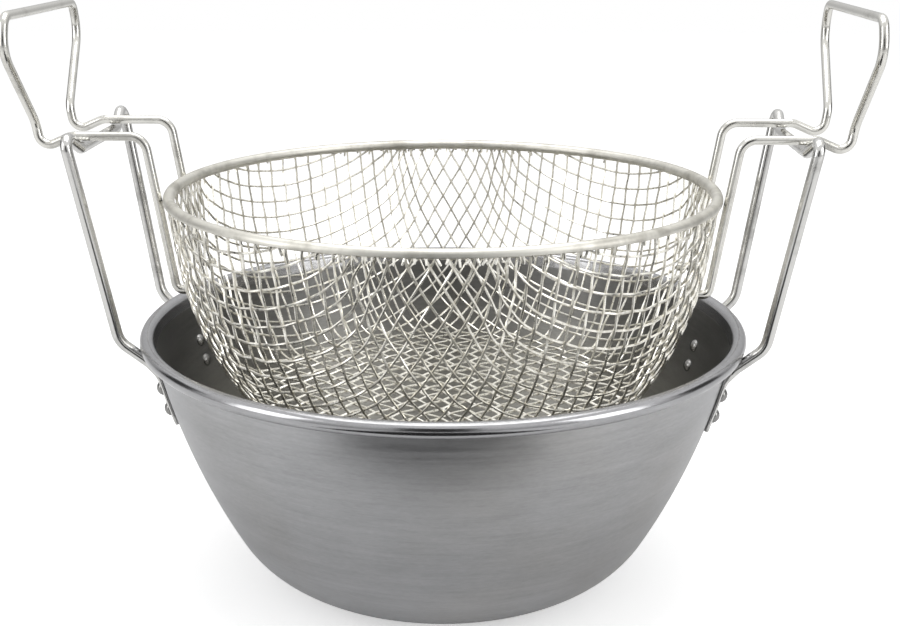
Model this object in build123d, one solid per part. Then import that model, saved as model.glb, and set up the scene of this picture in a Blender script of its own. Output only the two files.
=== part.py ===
from build123d import *
import math
import os

# A chip pan: a pressed steel bowl with two upright wire handles, and a woven wire basket that hangs on them
# to drain.
# Millimetres and degrees. The bowl stands on Z = 0 with its axis on Z, and X runs through the four handles.
# A lean is the angle between a wall and the vertical, and 90 is a flat floor.

# Bowl, pressed from sheet, its edge rolled outwards
pot_diameter = 280.0
pot_height = 122.0
pot_sheet = 1.2
roll_diameter = 6.6
roll_turn_angle = 285.0
wall_lean_top = 11.0
wall_lean_low = 29.0
pot_corner_radius = 48.0

# Pot handles, one bent wire each with flattened ends
pot_wire = 5.0
pot_bar_height = 87.0
pot_bar_half_width = 28.5
ear_half_width = 47.5
ear_rise = 9.5
ear_bend_radius = 4.5
pot_bar_bend_radius = 5.0
pot_handle_lean = 9.5
foot_half_width = 40.0
foot_height = 2.2
foot_slant_angle = 50.0
foot_bend_radius = 12.0
foot_roll_gap = 0.3
foot_wall_gap = 0.3

# Flattened ends and their rivets, measured down the wall from the roll
tab_thickness = 2.0
tab_width = 8.4
tab_start = 13.0
tab_length = 28.0
rivet_first = 22.0
rivet_pitch = 10.5
rivet_count = 2
rivet_shank = 4.0
rivet_hole_gap = 0.1
rivet_head = 6.4
rivet_head_height = 2.0

# Basket, woven wire whose edge is rolled up in a band with a rim wire
basket_mouth_gap = 7.3
basket_depth = 95.5
mesh_wire = 0.9
mesh_lean = 8.4
mesh_mouth_radius = 40.0
mesh_shoulder_radius = 142.0
mesh_shoulder_lean = 36.0
mesh_corner_radius = 13.5
band_width = 5.2
band_sheet = 0.5
rim_wire = 2.4
basket_seat_gap = 0.3

# Basket handles, one bent wire each that rests on the pot handle's bar
basket_wire = 4.0
hang_gap = 0.3
basket_handle_half_width = 24.8
riser_height = 27.5
riser_bend_radius = 7.5
leg_length = 42.0
leg_hook_radius = 3.5
leg_hook_inside = 1.6
leg_gap = 1.8
arm_past_bar = 5.0
arm_bend_radius = 8.0
dip_past_bar = 18.6
dip_drop = 6.0
dip_bend_radius = 5.0
neck_past_bar = 20.4
neck_rise = 6.2
neck_bend_radius = 10.0
grip_past_bar = 22.3
shoulder_half_width = 52.0
shoulder_rise = 39.0
shoulder_bend_radius = 14.0
grip_half_width = 46.6
grip_rise = 53.0
grip_bend_radius = 6.0

# How far a cutting solid runs past what it cuts
overrun = 1.0

half_turn = Rot(0, 0, 180)


def cosine(angle):
    return math.cos(math.radians(angle))


def sine(angle):
    return math.sin(math.radians(angle))


def tangent(angle):
    return math.tan(math.radians(angle))


def sine_inverse(share):
    return math.degrees(math.asin(share))


def off_wall(point, lean, out):
    # The point that lies out from a wall of that lean, in radius and height
    return (point[0] + out * cosine(lean), point[1] - out * sine(lean))


def round_wall(centre, radius, lean):
    return off_wall(centre, lean, radius)


# Where the bowl's arcs lie, in radius and height, on its outside
roll_radius = roll_diameter / 2
roll_centre = (pot_diameter / 2 - roll_radius, pot_height - roll_radius)
wall_top = off_wall(roll_centre, wall_lean_top, pot_sheet - roll_radius)
wall_radius = (wall_top[1] - pot_corner_radius * (1 - sine(wall_lean_low))) / (
    sine(wall_lean_low) - sine(wall_lean_top)
)
wall_centre = off_wall(wall_top, wall_lean_top, -wall_radius)
wall_low = round_wall(wall_centre, wall_radius, wall_lean_low)
corner_centre = off_wall(wall_low, wall_lean_low, -pot_corner_radius)
mouth_radius = roll_centre[0] - roll_radius


def wall_lean_at(run):
    # The wall's lean at a distance down it from the roll
    return wall_lean_top + math.degrees(run / wall_radius)


def revolved(edges):
    return revolve(Plane.XZ * make_face(edges), Axis.Z)


def arc_down(centre, radius, lean_from, lean_to):
    return CenterArc(centre, radius, -lean_from, lean_from - lean_to)


def wall_ring(low, high):
    # The ring of space between two offsets of the bowl's wall, as long as the tabs and the rivet heads need,
    # with its seam on the -X side, away from the tab and rivets that it trims
    lean_from = wall_lean_at(tab_start - tab_width)
    lean_to = wall_lean_at(tab_start + tab_length + tab_width)
    return half_turn * revolved(
        [
            arc_down(wall_centre, wall_radius + low, lean_from, lean_to),
            arc_down(wall_centre, wall_radius + high, lean_from, lean_to),
            Line(
                round_wall(wall_centre, wall_radius + low, lean_from),
                round_wall(wall_centre, wall_radius + high, lean_from),
            ),
            Line(
                round_wall(wall_centre, wall_radius + low, lean_to),
                round_wall(wall_centre, wall_radius + high, lean_to),
            ),
        ]
    )


def wall_plane(run, out):
    # A plane off the wall in the XZ plane, facing outwards, its X running down the wall
    lean = wall_lean_at(run)
    radius, height = round_wall(wall_centre, wall_radius + out, lean)
    return Plane(
        origin=(radius, 0, height),
        x_dir=(-sine(lean), 0, -cosine(lean)),
        z_dir=(cosine(lean), 0, -sine(lean)),
    )


def rivet_runs():
    return [rivet_first + rivet_pitch * index for index in range(rivet_count)]


def rivet_holes():
    radius = rivet_shank / 2 + rivet_hole_gap
    depth = pot_sheet + tab_thickness + 2 * overrun
    bottom = -pot_sheet - overrun
    return [
        wall_plane(run, bottom) * extrude(Circle(radius), depth) for run in rivet_runs()
    ]


def head_dome(seat):
    # A domed head on a short skirt that the curved seat trims, standing on the XY plane and pointing up Z
    half = rivet_head / 2
    crown = (half**2 + rivet_head_height**2) / (2 * rivet_head_height)
    edge = math.degrees(math.acos(half / crown)) if half < crown else 0.0
    centre = rivet_head_height - crown
    section = make_face(
        [
            CenterArc((0, centre), crown, edge, 90 - edge),
            Line((0, rivet_head_height), (0, -seat)),
            Line((0, -seat), (half, -seat)),
            Line((half, -seat), (half, centre + crown * sine(edge))),
        ]
    )
    return revolve(Plane.XZ * section, Axis.Z)


def rivets():
    # Two rivets of one foot, in the XZ plane
    skirt = pot_sheet / 2
    dome = head_dome(skirt)
    outer_trim = wall_ring(-pot_sheet, tab_thickness)
    inner_trim = wall_ring(-pot_sheet, 0)
    solids = []
    for run in rivet_runs():
        outside = wall_plane(run, tab_thickness) * dome - outer_trim
        inside = wall_plane(run, -pot_sheet) * Rot(180, 0, 0) * dome - inner_trim
        shank = wall_plane(run, -pot_sheet - skirt) * extrude(
            Circle(rivet_shank / 2), pot_sheet + tab_thickness + 2 * skirt
        )
        solids.append((outside + shank + inside).solid())
    return solids


def pot_body():
    lean_end = 180 - wall_lean_top - roll_turn_angle
    sheet_end = [
        (
            roll_centre[0] + radius * cosine(lean_end),
            roll_centre[1] + radius * sine(lean_end),
        )
        for radius in (roll_radius - pot_sheet, roll_radius)
    ]
    edges = [
        Line((0, 0), (corner_centre[0], 0)),
        Line((0, pot_sheet), (corner_centre[0], pot_sheet)),
        Line((0, 0), (0, pot_sheet)),
        Line(*sheet_end),
    ]
    for depth in (0, pot_sheet):
        edges.append(
            arc_down(corner_centre, pot_corner_radius - depth, wall_lean_low, 90)
        )
        edges.append(
            arc_down(wall_centre, wall_radius - depth, wall_lean_top, wall_lean_low)
        )
    for radius in (roll_radius - pot_sheet, roll_radius):
        edges.append(CenterArc(roll_centre, radius, lean_end, roll_turn_angle))
    body = revolved(edges)
    for angle in foot_angles():
        for hole in rivet_holes():
            body -= Rot(0, 0, angle) * hole
    return body


# The foot of a pot handle, in the plane that holds the tab, in radius and height
pot_wire_radius = pot_wire / 2
foot_line = off_wall(
    roll_centre, foot_slant_angle, roll_radius + foot_roll_gap + pot_wire_radius
)
foot_climb = (roll_centre[1] + foot_height - foot_line[1]) / cosine(foot_slant_angle)
foot_corner = (
    foot_line[0] + foot_climb * sine(foot_slant_angle),
    foot_line[1] + foot_climb * cosine(foot_slant_angle),
)
foot_angle = sine_inverse(foot_half_width / foot_corner[0])


def foot_angles():
    return [foot_angle, -foot_angle, 180 - foot_angle, 180 + foot_angle]


def foot_wall_point():
    # Where the slanting wire comes as near to the wall as its gap lets it
    reach = wall_radius + foot_wall_gap + pot_wire_radius
    across = foot_line[0] - wall_centre[0]
    above = foot_line[1] - wall_centre[1]
    along = across * sine(foot_slant_angle) + above * cosine(foot_slant_angle)
    slide = along - math.sqrt(along**2 - across**2 - above**2 + reach**2)
    if foot_line[1] - slide * cosine(foot_slant_angle) > foot_line[1]:
        slide = along + math.sqrt(along**2 - across**2 - above**2 + reach**2)
    return (
        foot_line[0] - slide * sine(foot_slant_angle),
        foot_line[1] - slide * cosine(foot_slant_angle),
    )


def at_angle(point, angle):
    return (point[0] * cosine(angle), point[0] * sine(angle), point[1])


# The bar of a pot handle and the ears beside it, in the handle's leaning plane
pot_bar_level = roll_centre[1] + pot_bar_height
foot_x = foot_corner[0] * cosine(foot_angle)


def pot_handle_x(level):
    return foot_x + (level - foot_corner[1]) * tangent(pot_handle_lean)


pot_bar_x = pot_handle_x(pot_bar_level)


def bent_wire(points, radii, diameter):
    path = FilletPolyline(*points, radius=radii)
    section = Plane(origin=path @ 0, z_dir=path % 0) * Circle(diameter / 2)
    wire = sweep(section, path=path)
    share = wire.volume / (math.pi * diameter**2 / 4 * path.length)
    print("wire length", round(path.length, 1), "volume share", round(share, 4))
    return wire


def tab():
    # The flattened end of the wire, in the XZ plane, seated on the wall
    middle = wall_plane(tab_start + tab_length / 2, -overrun)
    outline = extrude(
        SlotOverall(tab_length, tab_width), tab_thickness + 2 * overrun + pot_sheet
    )
    flat = wall_ring(0, tab_thickness) & (middle * outline)
    for hole in rivet_holes():
        flat -= hole
    return flat


def pot_handle():
    # One bent wire, on the +X side
    end_run = rivet_first - rivet_head / 2 - foot_wall_gap - pot_wire_radius
    end = round_wall(
        wall_centre, wall_radius + tab_thickness / 2, wall_lean_at(end_run)
    )
    ear_level = pot_bar_level + ear_rise
    half = [
        at_angle(end, foot_angle),
        at_angle(foot_wall_point(), foot_angle),
        at_angle(foot_corner, foot_angle),
        (pot_handle_x(ear_level), ear_half_width, ear_level),
        (pot_bar_x, pot_bar_half_width, pot_bar_level),
    ]
    other = [(x, -y, z) for x, y, z in reversed(half)]
    radii = [foot_bend_radius, foot_bend_radius, ear_bend_radius, pot_bar_bend_radius]
    handle = bent_wire(half + other, radii + radii[::-1], pot_wire)
    for angle in (foot_angle, -foot_angle):
        handle += Pos(*at_angle(end, angle)) * Sphere(pot_wire_radius)
    handle -= wall_ring(-pot_wire, 0)
    for angle in (foot_angle, -foot_angle):
        for hole in rivet_holes():
            handle -= Rot(0, 0, angle) * hole
        handle += Rot(0, 0, angle) * tab()
    return handle


# The basket hangs with its arms on the bars
arm_level = pot_bar_level + pot_wire_radius + hang_gap + basket_wire / 2
band_radius = mouth_radius - basket_mouth_gap
band_centre = (band_radius - band_width / 2, arm_level - riser_height)
band_inside = band_width / 2 - band_sheet
rim_wire_level = band_centre[1] + band_inside - basket_seat_gap - rim_wire / 2
mesh_sheet = 2 * mesh_wire
mesh_lip_top = rim_wire_level - rim_wire / 2 - basket_seat_gap
mesh_lip_radius = band_centre[0] + mesh_sheet / 2


def mesh_profile():
    # The centres, radii and end leans of the basket's arcs, from the lip down to the floor, the straight wall's
    # two ends, and the floor's level
    lip_end = (mesh_lip_radius, band_centre[1] - band_width / 2)
    mouth_centre = off_wall(lip_end, 0, -mesh_mouth_radius)
    mouth_end = round_wall(mouth_centre, mesh_mouth_radius, mesh_lean)
    shoulder_drop = mesh_shoulder_radius * (sine(mesh_shoulder_lean) - sine(mesh_lean))
    corner_drop = mesh_corner_radius * (1 - sine(mesh_shoulder_lean))
    floor_level = band_centre[1] - basket_depth
    wall_drop = mouth_end[1] - floor_level - shoulder_drop - corner_drop
    wall_end = (mouth_end[0] - wall_drop * tangent(mesh_lean), mouth_end[1] - wall_drop)
    shoulder_centre = off_wall(wall_end, mesh_lean, -mesh_shoulder_radius)
    shoulder_end = round_wall(shoulder_centre, mesh_shoulder_radius, mesh_shoulder_lean)
    floor_centre = off_wall(shoulder_end, mesh_shoulder_lean, -mesh_corner_radius)
    arcs = [
        (mouth_centre, mesh_mouth_radius, 0, mesh_lean),
        (shoulder_centre, mesh_shoulder_radius, mesh_lean, mesh_shoulder_lean),
        (floor_centre, mesh_corner_radius, mesh_shoulder_lean, 90),
    ]
    return arcs, mouth_end, wall_end, floor_level


mesh_arcs, mesh_wall_top, mesh_wall_end, mesh_floor_level = mesh_profile()


def mesh_radius_at(level):
    # The basket's outside radius on its straight wall, or on the shoulder below it
    if level > mesh_wall_end[1]:
        return mesh_wall_top[0] - (mesh_wall_top[1] - level) * tangent(mesh_lean)
    centre, radius, _, _ = mesh_arcs[1]
    return centre[0] + math.sqrt(radius**2 - (centre[1] - level) ** 2)


# The legs of the basket handles run down outside the band and hook into the mesh
basket_wire_radius = basket_wire / 2
leg_level = band_centre[1] - leg_length
leg_radius = mesh_radius_at(leg_level) + leg_gap + basket_wire_radius
leg_x = math.sqrt(leg_radius**2 - basket_handle_half_width**2)
passing_radius = band_radius + basket_seat_gap + basket_wire_radius
passing_x = math.sqrt(passing_radius**2 - basket_handle_half_width**2)
riser_slope = (passing_x - leg_x) / leg_length
riser_stretch = math.hypot(1, riser_slope)
riser_shift = (band_width / 2 + basket_wire_radius) * (riser_stretch - 1)
riser_x = passing_x + riser_shift + riser_slope * riser_height
foot_hook_x = leg_x + riser_shift
hook_tip_x = leg_x - basket_wire_radius - leg_gap - mesh_sheet - leg_hook_inside


def hook_holes():
    # Round the wire ends that pass through the mesh
    radius = basket_wire_radius + basket_seat_gap
    hole = Rot(0, 90, 0) * extrude(Circle(radius), foot_hook_x, both=True)
    shift = (-basket_handle_half_width, basket_handle_half_width)
    return [Pos(0, y, leg_level) * hole for y in shift]


def basket_mesh():
    # The woven net as a shell of two wires' thickness
    top = mesh_lip_top
    edges = []
    for depth in (0, mesh_sheet):
        lip = mesh_lip_radius - depth
        edges.append(Line((lip, top), (lip, band_centre[1] - band_width / 2)))
        edges.append(
            Line(
                off_wall(mesh_wall_top, mesh_lean, -depth),
                off_wall(mesh_wall_end, mesh_lean, -depth),
            )
        )
        for centre, radius, lean_from, lean_to in mesh_arcs:
            edges.append(arc_down(centre, radius - depth, lean_from, lean_to))
        floor = mesh_floor_level + depth
        edges.append(Line((0, floor), (mesh_arcs[-1][0][0], floor)))
    edges.append(Line((mesh_lip_radius, top), (mesh_lip_radius - mesh_sheet, top)))
    edges.append(Line((0, mesh_floor_level), (0, mesh_floor_level + mesh_sheet)))
    return revolved(edges) - hook_holes()


def basket_rim_band():
    # A rolled tube with a slot below, where the mesh goes in
    slot = sine_inverse((mesh_sheet / 2 + basket_seat_gap) / band_inside)
    edges = [
        CenterArc(band_centre, radius, slot - 90, 360 - 2 * slot)
        for radius in (band_width / 2, band_inside)
    ]
    for angle in (slot - 90, -slot - 90):
        ends = [
            (
                band_centre[0] + radius * cosine(angle),
                band_centre[1] + radius * sine(angle),
            )
            for radius in (band_width / 2, band_inside)
        ]
        edges.append(Line(*ends))
    return revolved(edges)


def basket_rim_wire():
    return Pos(0, 0, rim_wire_level) * Torus(band_centre[0], rim_wire / 2)


def basket_handle():
    # One bent wire, on the +X side: two hooks, legs, arms and the grip loop
    y = basket_handle_half_width
    half = [
        (hook_tip_x, y, leg_level),
        (foot_hook_x, y, leg_level),
        (riser_x, y, arm_level),
        (pot_bar_x + arm_past_bar, y, arm_level),
        (pot_bar_x + dip_past_bar, y, arm_level - dip_drop),
        (pot_bar_x + neck_past_bar, y, arm_level + neck_rise),
        (pot_bar_x + grip_past_bar, shoulder_half_width, arm_level + shoulder_rise),
        (pot_bar_x + grip_past_bar, grip_half_width, arm_level + grip_rise),
    ]
    other = [(x, -y, z) for x, y, z in reversed(half)]
    radii = [
        leg_hook_radius,
        riser_bend_radius,
        arm_bend_radius,
        dip_bend_radius,
        neck_bend_radius,
        shoulder_bend_radius,
        grip_bend_radius,
    ]
    return bent_wire(half + other, radii + radii[::-1], basket_wire)


def write(name, shape):
    if isinstance(shape, list):
        shape = Compound(children=shape)
    export_step(shape, os.path.join("parts", name + ".step"))


os.makedirs("parts", exist_ok=True)

write("pot_body", pot_body())
right_pot_handle = pot_handle()
write("pot_handle_right", right_pot_handle)
write("pot_handle_left", half_turn * right_pot_handle)

foot_names = ["right_back", "right_front", "left_back", "left_front"]
foot_rivets = rivets()
for name, angle in zip(foot_names, foot_angles()):
    write("rivets_" + name, [Rot(0, 0, angle) * rivet for rivet in foot_rivets])

write("basket_mesh", basket_mesh())
write("basket_rim_band", basket_rim_band())
write("basket_rim_wire", basket_rim_wire())
right_basket_handle = basket_handle()
write("basket_handle_right", right_basket_handle)
write("basket_handle_left", half_turn * right_basket_handle)
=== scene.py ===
import bmesh
import bpy
import math
import random
from bisect import bisect_right
from mathutils import Matrix, Vector


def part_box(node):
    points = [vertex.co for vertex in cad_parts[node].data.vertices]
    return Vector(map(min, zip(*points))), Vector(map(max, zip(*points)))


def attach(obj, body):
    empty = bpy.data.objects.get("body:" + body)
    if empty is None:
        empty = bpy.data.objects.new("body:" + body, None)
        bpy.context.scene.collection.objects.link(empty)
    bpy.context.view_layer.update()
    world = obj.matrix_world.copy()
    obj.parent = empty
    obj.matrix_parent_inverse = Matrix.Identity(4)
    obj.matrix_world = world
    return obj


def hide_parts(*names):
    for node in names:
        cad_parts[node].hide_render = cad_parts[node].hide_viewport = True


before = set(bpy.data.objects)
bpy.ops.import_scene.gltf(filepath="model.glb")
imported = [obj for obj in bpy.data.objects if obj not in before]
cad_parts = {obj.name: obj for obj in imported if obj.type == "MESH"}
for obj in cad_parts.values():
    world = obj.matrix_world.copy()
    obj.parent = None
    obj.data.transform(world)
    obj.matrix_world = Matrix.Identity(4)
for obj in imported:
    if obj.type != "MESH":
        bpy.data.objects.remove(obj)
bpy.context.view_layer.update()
scene = bpy.context.scene
scene.view_settings.view_transform = "Standard"
mm = 0.001  # sizes are in millimetres, and the frame's places in metres
print("frame loaded")


def sine(angle):
    return math.sin(math.radians(angle))


def cosine(angle):
    return math.cos(math.radians(angle))


def tangent(angle):
    return math.tan(math.radians(angle))


def smooth(share):  # eases a share from 0 to 1
    share = min(max(share, 0.0), 1.0)
    return share * share * (3 - 2 * share)


# node sums

class Link:  # one socket, so that sums of sockets are written as sums
    def __init__(self, socket):
        self.socket = socket

    def node(self, kind, values=None, settings=None, out=0):
        tree = self.socket.id_data
        made = tree.nodes.new(kind)
        for name, value in (settings or {}).items():
            setattr(made, name, value)
        for name, value in (values or {}).items():
            if isinstance(value, Link):
                tree.links.new(value.socket, made.inputs[name])
            else:
                made.inputs[name].default_value = value
        return Link(made.outputs[out]) if made.outputs else None

    def math(self, operation, first, second):
        return self.node("ShaderNodeMath", {0: first, 1: second}, {"operation": operation})

    def __add__(self, other):
        return self.math("ADD", self, other)

    def __radd__(self, other):
        return self.math("ADD", other, self)

    def __sub__(self, other):
        return self.math("SUBTRACT", self, other)

    def __rsub__(self, other):
        return self.math("SUBTRACT", other, self)

    def __mul__(self, other):
        return self.math("MULTIPLY", self, other)

    def __pow__(self, other):
        return self.math("POWER", self, other)

    def between(self, low, high):  # 0 below low, 1 above high, smooth between
        values = {"Value": self, "From Min": low, "From Max": high}
        return self.node("ShaderNodeMapRange", values, {"interpolation_type": "SMOOTHSTEP"})


def mixColours(share, first, second):
    first, second = [c if isinstance(c, Link) else (*c, 1) for c in (first, second)]
    return share.node("ShaderNodeMix", {0: share, 6: first, 7: second}, {"data_type": "RGBA"}, 2)


# metals

def noise(place, scale, detail, rough):
    values = {"Vector": place, "Scale": scale, "Detail": detail, "Roughness": rough}
    return place.node("ShaderNodeTexNoise", values)


def ringPlace(place, share):  # a place that changes only down a turned wall, and its height
    # share: how much of the height counts beside the radius
    x, y, z = [place.node("ShaderNodeSeparateXYZ", {0: place}, out=i) for i in range(3)]
    radius = (x * x + y * y) ** 0.5
    return place.node("ShaderNodeCombineXYZ", {0: radius + z * share}), z


def marked(place, name):  # a number that the mesh keeps at each point
    return place.node("ShaderNodeAttribute", settings={"attribute_name": name}, out=2)


def startMaterial(name):
    material = bpy.data.materials.new(name)
    material.use_nodes = True
    tree = material.node_tree
    tree.nodes.clear()
    return material, Link(tree.nodes.new("ShaderNodeTexCoord").outputs["Object"])


def finishMetal(place, colour, rough, height, bump):  # bump: the strength and distance of the height
    normal = place.node("ShaderNodeBump", {"Height": height, "Strength": bump[0], "Distance": bump[1]})
    values = {"Base Color": colour, "Metallic": 1.0, "Roughness": rough, "Normal": normal}
    shader = place.node("ShaderNodeBsdfPrincipled", values)
    place.node("ShaderNodeOutputMaterial", {"Surface": shader})


steel = {  # the bowl's satin steel, turned on a former
    "outside": (0.40, 0.402, 0.41),
    # painted shade: the inside is the same steel as the outside, painted darker
    "inside": (0.195, 0.194, 0.190),
    "paintedLowSheen": (0.34, 0.333, 0.312),  # painted reflection: the inside lighter low down
    "paintedLowSheenSpan": (0.45, 0.90),  # shares of the height over which that fades
    "rolled": (0.40, 0.40, 0.41),  # the rolled edge, as bright as the outside; on the inside wall just under the roll it is a painted highlight
    "rolledRoughness": 0.20,
    "rolledSpan": (7.5, 6.0),  # how far under the top that begins and is whole
    "stain": (0.35, 0.34, 0.325),
    "stainScale": 9.0,
    "stainSpan": (0.45, 0.75),  # of its noise
    "stainShare": 0.5,
    "paintedFootLightSpan": (0.0, 0.6),  # shares of the height over which a painted light on the outside's foot fades
    "paintedFootLightTone": 0.28,
    "roughness": 0.36,
    "bump": (0.10, 0.0006),
    "fineBump": 0.6,  # the fine rings' share of the bump, the rest is the broad rings'
}
steelNoises = {  # a stretch is across the height, and none is for noise in rings
    "fine": {"stretch": None, "scale": 420.0, "detail": 3.0, "rough": 0.6, "tone": 0.30, "roughness": 0.14},
    "broad": {"stretch": None, "scale": 46.0, "detail": 2.0, "rough": 0.5, "tone": 0.24, "roughness": 0.0},
    "smear": {"stretch": 14.0, "scale": 26.0, "detail": 4.0, "rough": 0.6, "tone": 0.30, "roughness": 0.20},
    "smudge": {"stretch": 4.5, "scale": 26.0, "detail": 5.0, "rough": 0.68, "tone": 0.44, "roughness": 0.12},
    "grain": {"stretch": 4.5, "scale": 330.0, "detail": 2.0, "rough": 0.6, "tone": 0.26, "roughness": 0.0},
}


def spunSteel():
    material, place = startMaterial("spunSteel")
    rings, level = ringPlace(place, 1.0)
    noises = {}
    tone = 1
    rough = steel["roughness"]
    for name, look in steelNoises.items():
        along = rings
        if look["stretch"]:
            along = place.node("ShaderNodeMapping", {"Vector": place, "Scale": (1, 1, look["stretch"])})
        noises[name] = noise(along, look["scale"], look["detail"], look["rough"])
        tone = tone + (noises[name] - 0.5) * look["tone"]
        rough = rough + (noises[name] - 0.5) * look["roughness"]
    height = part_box("pot_body")[1].z
    inside = marked(place, "inside")
    # painted reflection: the inside lighter low down, fading upwards
    paintedLowSheen = 1 - level.between(*[share * height for share in steel["paintedLowSheenSpan"]])
    # the rolled edge: the inside's painted shade gives way there, a painted highlight on the inner wall just
    # under the roll
    rolled = level.between(*[height - drop * mm for drop in steel["rolledSpan"]])
    # painted light: the outside lighter towards its foot
    low = (1 - level.between(*[share * height for share in steel["paintedFootLightSpan"]])) * (1 - inside)
    stained = noise(place, steel["stainScale"], 3.0, 0.55).between(*steel["stainSpan"])
    # painted shade inside, lifted low down by a painted reflection
    colour = mixColours(inside, steel["outside"], mixColours(paintedLowSheen, steel["inside"], steel["paintedLowSheen"]))
    colour = mixColours(stained * (1 - inside) * steel["stainShare"], colour, steel["stain"])
    colour = mixColours(rolled, colour, steel["rolled"])
    tone = tone + low * steel["paintedFootLightTone"]
    colour = place.node("ShaderNodeVectorMath", {0: colour, "Scale": tone}, {"operation": "SCALE"})
    rough = rough + rolled * (steel["rolledRoughness"] - rough)
    height = noises["fine"] * steel["fineBump"] + noises["broad"] * (1 - steel["fineBump"])
    finishMetal(place, colour, rough, height, steel["bump"])
    return material


wireLook = {  # drawn wire, bright plated
    "bright": (0.66, 0.655, 0.64),
    "dull": (0.36, 0.355, 0.34),
    "cloudScale": 60.0,
    "dullSpan": (0.48, 0.72),  # of the clouds' noise
    "dullShare": 0.7,
    "fineScale": 260.0,
    "fineRough": 0.7,
    "rings": None,  # how much of the height counts, where the fine noise lies in rings
    "roughness": 0.17,
    "dullRoughness": 0.16,
    "cloudRoughness": 0.0,
    "fineRoughness": 0.05,
    "bump": (0.05, 0.0008),
    "cloudBump": 0.85,  # the clouds' share of the bump, the rest is the fine noise's
}
tinnedLook = dict(wireLook, bright=(0.74, 0.73, 0.69), dull=(0.44, 0.43, 0.40))
rivetLook = dict(wireLook, bright=(0.30, 0.297, 0.29), dull=(0.17, 0.167, 0.16), roughness=0.22)
bandLook = {  # the basket's rolled rim, satin from drawing
    "bright": (0.70, 0.685, 0.63),
    "dull": (0.44, 0.425, 0.38),
    "cloudScale": 55.0,
    "dullSpan": (0.42, 0.72),
    "dullShare": 1.0,
    "fineScale": 900.0,
    "fineRough": 0.6,
    "rings": 0.3,
    "roughness": 0.46,
    "dullRoughness": 0.0,
    "cloudRoughness": 0.2,
    "fineRoughness": 0.1,
    "bump": (0.14, 0.0009),
    "cloudBump": 0.8,
}


def drawnMetal(name, look):  # worn dull in clouds
    material, place = startMaterial(name)
    along = ringPlace(place, look["rings"])[0] if look["rings"] else place
    cloud = noise(place, look["cloudScale"], 4.0, 0.6)
    fine = noise(along, look["fineScale"], 3.0, look["fineRough"])
    worn = cloud.between(*look["dullSpan"])
    colour = mixColours(worn * look["dullShare"], look["bright"], look["dull"])
    rough = look["roughness"] + worn * look["dullRoughness"]
    rough = rough + (cloud - 0.5) * look["cloudRoughness"] + (fine - 0.5) * look["fineRoughness"]
    height = cloud * look["cloudBump"] + fine * (1 - look["cloudBump"])
    finishMetal(place, colour, rough, height, look["bump"])
    return material


meshLook = {  # the net's tinned wire, dull in clouds, and darker where wires cross, a painted shade
    "bright": (0.95, 0.93, 0.86),
    "dull": (0.76, 0.735, 0.655),
    "cloudScale": 140.0,
    "dullSpan": (0.45, 0.75),
    "dullShare": 0.5,
    "crossing": (0.48, 0.45, 0.38),
    "crossingSpan": (0.6, 1.0),
    "crossingShare": 0.45,
    "roughness": 0.25,
    "crossingRoughness": 0.12,
    "cloudRoughness": 0.16,
    "bump": (0.15, 0.0005),
}


def tinnedNet():
    material, place = startMaterial("tinnedNet")
    look = meshLook
    crossing = marked(place, "crossing")
    cloud = noise(place, look["cloudScale"], 3.0, 0.6)
    colour = mixColours(cloud.between(*look["dullSpan"]) * look["dullShare"], look["bright"], look["dull"])
    # painted shade where wires cross
    paintedCrossingShade = crossing.between(*look["crossingSpan"]) * look["crossingShare"]
    rough = look["roughness"] + crossing * look["crossingRoughness"] + (cloud - 0.5) * look["cloudRoughness"]
    finishMetal(place, mixColours(paintedCrossingShade, colour, look["crossing"]), rough, cloud, look["bump"])
    return material


bowlSteel = spunSteel()
brightWire = drawnMetal("brightWire", wireLook)
tinnedWire = drawnMetal("tinnedWire", tinnedLook)
rivetSteel = drawnMetal("rivetSteel", rivetLook)
bandSteel = drawnMetal("rolledBand", bandLook)
netWireSteel = tinnedNet()
print("materials made")


# geometry trees

weld = 0.002  # points nearer to each other than this become one


def startTree(name, inputs):
    tree = bpy.data.node_groups.new(name, "GeometryNodeTree")
    tree.interface.new_socket("Geometry", in_out="INPUT", socket_type="NodeSocketGeometry")
    for label, kind in inputs.items():
        tree.interface.new_socket(label, in_out="INPUT", socket_type="NodeSocket" + kind)
    tree.interface.new_socket("Geometry", in_out="OUTPUT", socket_type="NodeSocketGeometry")
    start = tree.nodes.new("NodeGroupInput")
    return tree, {socket.name: Link(socket) for socket in start.outputs if socket.name}


def endTree(shape, material):
    shape = shape.node("GeometryNodeRealizeInstances", {0: shape})
    shape = shape.node("GeometryNodeSetShadeSmooth", {"Geometry": shape})
    shape = shape.node("GeometryNodeSetMaterial", {"Geometry": shape, "Material": material})
    shape.node("NodeGroupOutput", {0: shape})


def turnedTree():  # turns a profile of points (radius - reach, -height) about Z
    tree, start = startTree("turned", {"Segments": "Int", "Reach": "Float", "Material": "Material"})
    profile = start["Geometry"].node("GeometryNodeMeshToCurve", {0: start["Geometry"]})
    ring = profile.node("GeometryNodeCurvePrimitiveCircle",
                        {"Resolution": start["Segments"], "Radius": start["Reach"]})
    shape = ring.node("GeometryNodeCurveToMesh", {"Curve": ring, "Profile Curve": profile})
    shape = shape.node("GeometryNodeMergeByDistance", {"Geometry": shape, "Distance": weld * mm})
    endTree(shape, start["Material"])
    return tree


def wireTree():  # a round wire along each line of the source
    tree, start = startTree("wires", {"Wire radius": "Float", "Sides": "Int", "Material": "Material"})
    lines = start["Geometry"].node("GeometryNodeMeshToCurve", {0: start["Geometry"]})
    section = lines.node("GeometryNodeCurvePrimitiveCircle",
                         {"Resolution": start["Sides"], "Radius": start["Wire radius"]})
    shape = lines.node("GeometryNodeCurveToMesh",
                       {"Curve": lines, "Profile Curve": section, "Fill Caps": True})
    endTree(shape, start["Material"])
    return tree


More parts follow.
